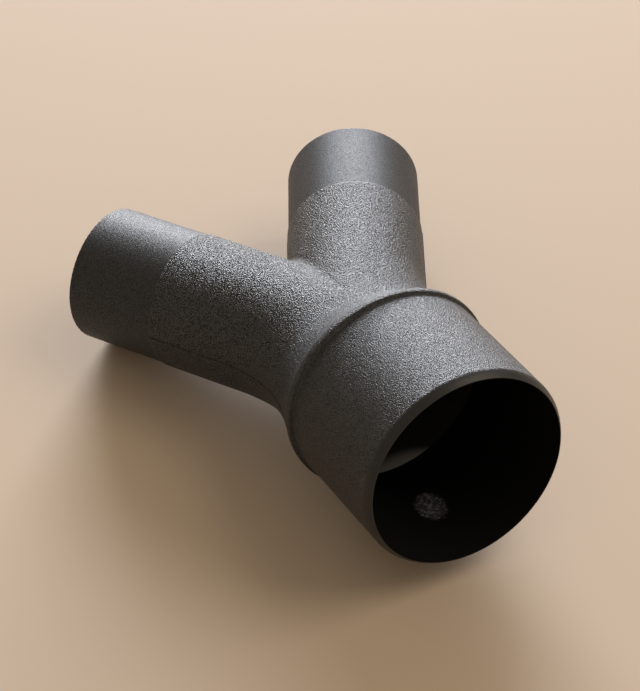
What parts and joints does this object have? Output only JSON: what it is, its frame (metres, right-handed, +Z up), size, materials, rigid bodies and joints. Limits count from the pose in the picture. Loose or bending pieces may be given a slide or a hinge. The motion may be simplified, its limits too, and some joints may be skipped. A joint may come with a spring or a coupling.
{
  "type": "two-way duct splitter",
  "caption": "Moulded wye duct fitting: a wide round collar with a stop shoulder blends into two smaller round spigots set at equal angles, hollow throughout.",
  "frame": {"origin": "centre of the footprint's box, on the surface that the fitting rests on", "axes": "+X from the collar towards the spigots, +Z up off the surface, +Y to the left seen from the collar; the fitting lies on its shoulder and its two spigot tips, with the collar's mouth lifted a little"},
  "size_m": [0.2454, 0.1916, 0.1091],
  "materials": {
    "body": "charcoal moulded plastic with a coarse sand grain, smoother on the spigots and the lip"
  },
  "bodies": {
    "root": {"splitter_body": "body"}
  },
  "joints": []
}
